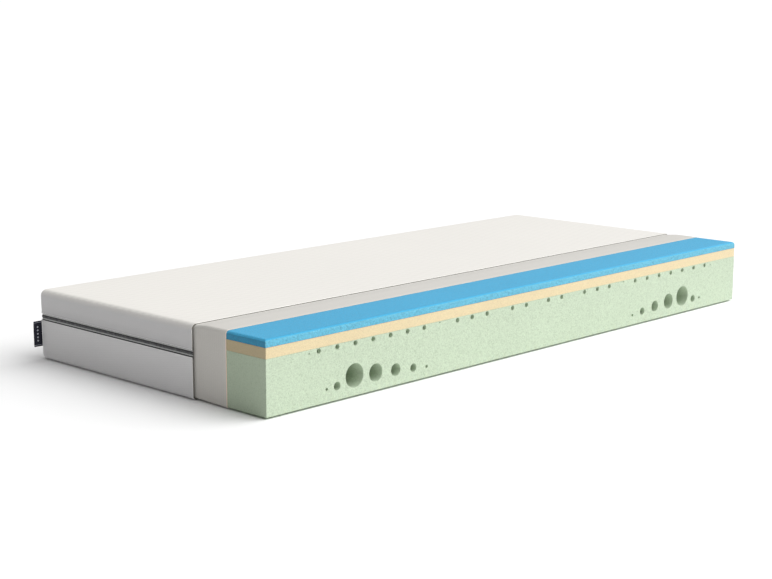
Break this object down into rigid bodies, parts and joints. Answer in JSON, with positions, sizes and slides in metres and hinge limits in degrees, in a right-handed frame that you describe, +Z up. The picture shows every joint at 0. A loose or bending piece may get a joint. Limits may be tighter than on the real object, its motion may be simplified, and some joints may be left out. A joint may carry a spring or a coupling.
{
  "type": "memory foam mattress",
  "caption": "Layered foam mattress cut away along one long side, with inner liner, zipped knit cover, zip slider and woven flag label.",
  "frame": {"origin": "middle of the foam block's plan, on the surface the mattress lies on", "axes": "+X along the length, away from the end with the flag label; +Y across, from the bare long side to the covered one; +Z up"},
  "size_m": [2.0392, 0.9137, 0.1922],
  "materials": {
    "support_foam": "matte",
    "memory_foam": "matte",
    "cooling_foam": "matte",
    "liner_jersey": "matte",
    "cover_knit": "matte",
    "border_knit": "matte",
    "zip_tape": "matte",
    "zip_chain": "satin",
    "slider_metal": "satin",
    "label_weave": "matte"
  },
  "bodies": {
    "core": {"support_foam": "support_foam", "memory_foam": "memory_foam", "cooling_foam": "cooling_foam", "inner_liner": "liner_jersey", "bottom_cover": "border_knit", "lower_zip_tape": "zip_tape", "lower_zip_chain": "zip_chain"},
    "upper_cover": {"top_cover": "cover_knit", "upper_zip_tape": "zip_tape", "upper_zip_chain": "zip_chain"},
    "slider": {"zip_slider": "slider_metal"},
    "pull": {"pull_tab": "slider_metal"},
    "label": {"flag_label": "label_weave"}
  },
  "joints": [
    {"name": "cover_lift", "type": "slide", "parent": "core", "child": "upper_cover", "axis": [0, 0, 1], "range_m": [0, 0.3]},
    {"name": "zip_run", "type": "slide", "parent": "core", "child": "slider", "axis": [-1, 0, 0], "range_m": [0, 1.86]},
    {"name": "pull_swing", "type": "hinge", "parent": "slider", "child": "pull", "pos_m": [0.93, 0.461, 0.1175], "axis": [0, 0, 1], "range_deg": [0, 175]},
    {"name": "label_flap", "type": "hinge", "parent": "core", "child": "label", "pos_m": [-1.00438, 0.45438, 0.07], "axis": [0, 0, 1], "range_deg": [-120, 40], "stiffness_Nm_per_rad": 0.0005}
  ]
}
